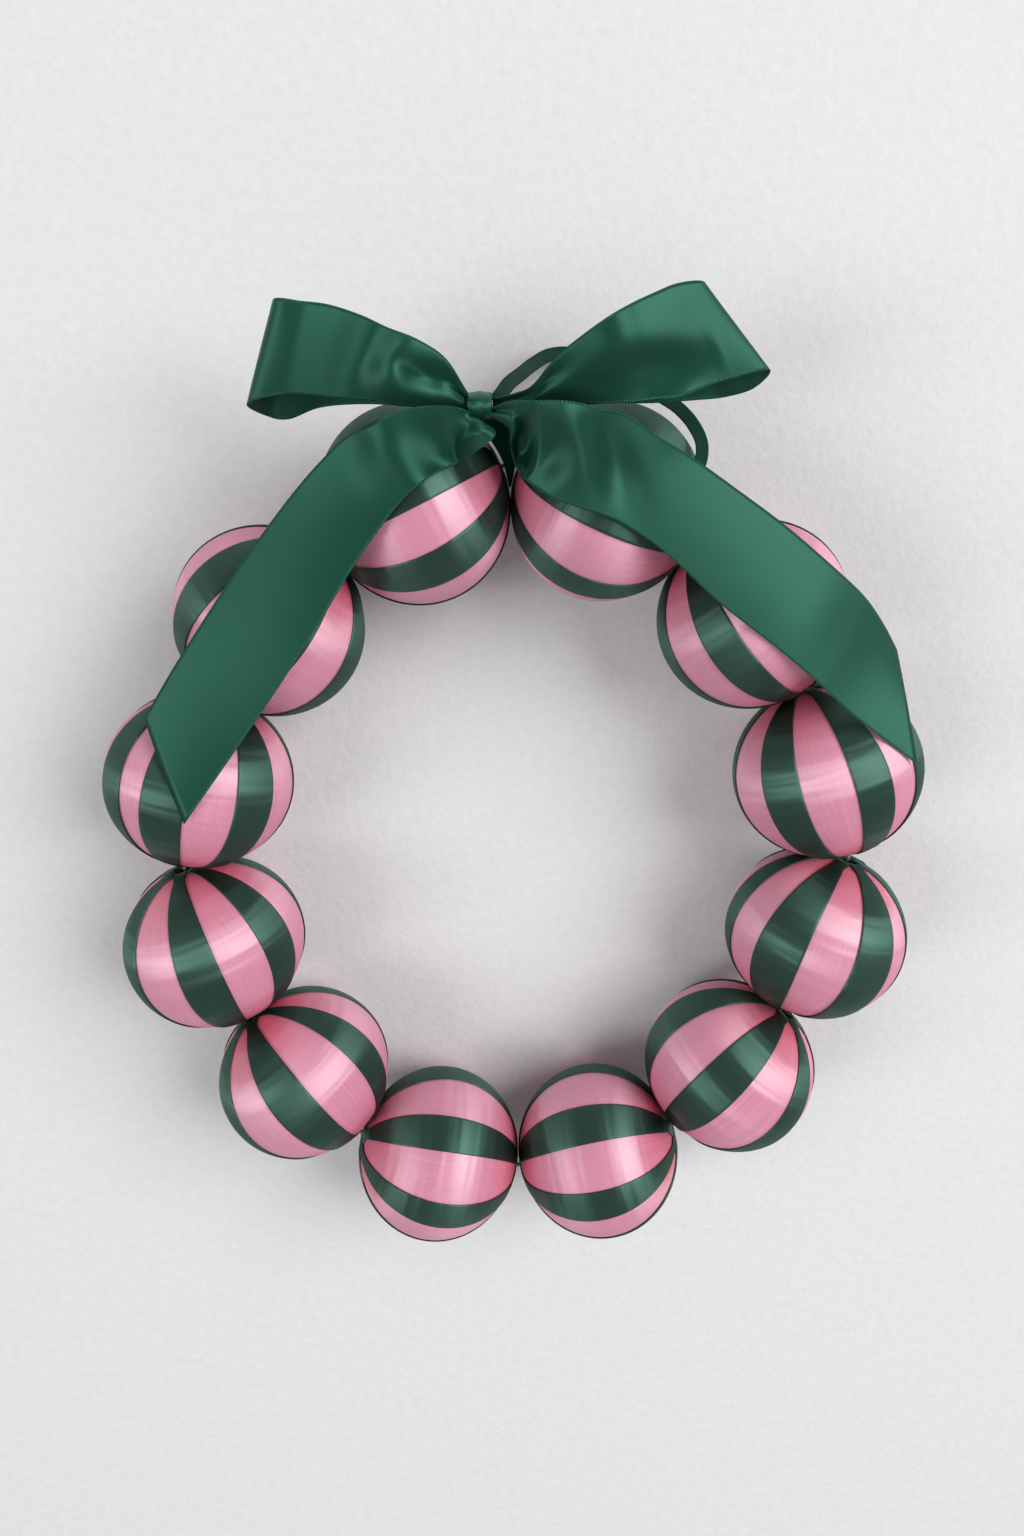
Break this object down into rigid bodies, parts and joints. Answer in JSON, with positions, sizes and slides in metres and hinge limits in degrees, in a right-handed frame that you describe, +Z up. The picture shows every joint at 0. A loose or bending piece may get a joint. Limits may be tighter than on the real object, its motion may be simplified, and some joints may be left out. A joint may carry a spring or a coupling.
{
  "type": "ball wreath",
  "caption": "Ring of striped ribbon-wrapped balls strung pole to pole on a wire, tied at the top with a satin bow whose tails lie over the balls, and a narrow ribbon loop to hang it by.",
  "frame": {"origin": "on the table, midway along and across the whole wreath with its bow", "axes": "+Z up from the table, +Y across the ring towards the bow, +X to the right as the bow faces up"},
  "size_m": [0.3531, 0.4243, 0.1064],
  "materials": {
    "green_wrap": "satin ribbon wound tight round a ball, fine lengthwise fibres, bright bands of reflection across it",
    "pink_wrap": "satin ribbon wound tight round a ball, fine lengthwise fibres, bright bands of reflection across it",
    "green_satin": "double-faced satin ribbon with woven edges",
    "foam": "white foam, hidden under the ribbons",
    "steel_wire": "drawn wire"
  },
  "bodies": {
    "root": {"ball_01_green_ribbon": "green_wrap", "ball_01_pink_ribbon": "pink_wrap", "ball_01_foam_core": "foam", "ball_02_green_ribbon": "green_wrap", "ball_02_pink_ribbon": "pink_wrap", "ball_02_foam_core": "foam", "ball_03_green_ribbon": "green_wrap", "ball_03_pink_ribbon": "pink_wrap", "ball_03_foam_core": "foam", "ball_04_green_ribbon": "green_wrap", "ball_04_pink_ribbon": "pink_wrap", "ball_04_foam_core": "foam", "ball_05_green_ribbon": "green_wrap", "ball_05_pink_ribbon": "pink_wrap", "ball_05_foam_core": "foam", "ball_06_green_ribbon": "green_wrap", "ball_06_pink_ribbon": "pink_wrap", "ball_06_foam_core": "foam", "ball_07_green_ribbon": "green_wrap", "ball_07_pink_ribbon": "pink_wrap", "ball_07_foam_core": "foam", "ball_08_green_ribbon": "green_wrap", "ball_08_pink_ribbon": "pink_wrap", "ball_08_foam_core": "foam", "ball_09_green_ribbon": "green_wrap", "ball_09_pink_ribbon": "pink_wrap", "ball_09_foam_core": "foam", "ball_10_green_ribbon": "green_wrap", "ball_10_pink_ribbon": "pink_wrap", "ball_10_foam_core": "foam", "ball_11_green_ribbon": "green_wrap", "ball_11_pink_ribbon": "pink_wrap", "ball_11_foam_core": "foam", "ball_12_green_ribbon": "green_wrap", "ball_12_pink_ribbon": "pink_wrap", "ball_12_foam_core": "foam", "ring_wire": "steel_wire", "bow_knot": "green_satin", "bow_left_loop": "green_satin", "bow_right_loop": "green_satin", "bow_left_tail": "green_satin", "bow_right_tail": "green_satin", "hanger_ribbon": "green_satin"}
  },
  "joints": []
}
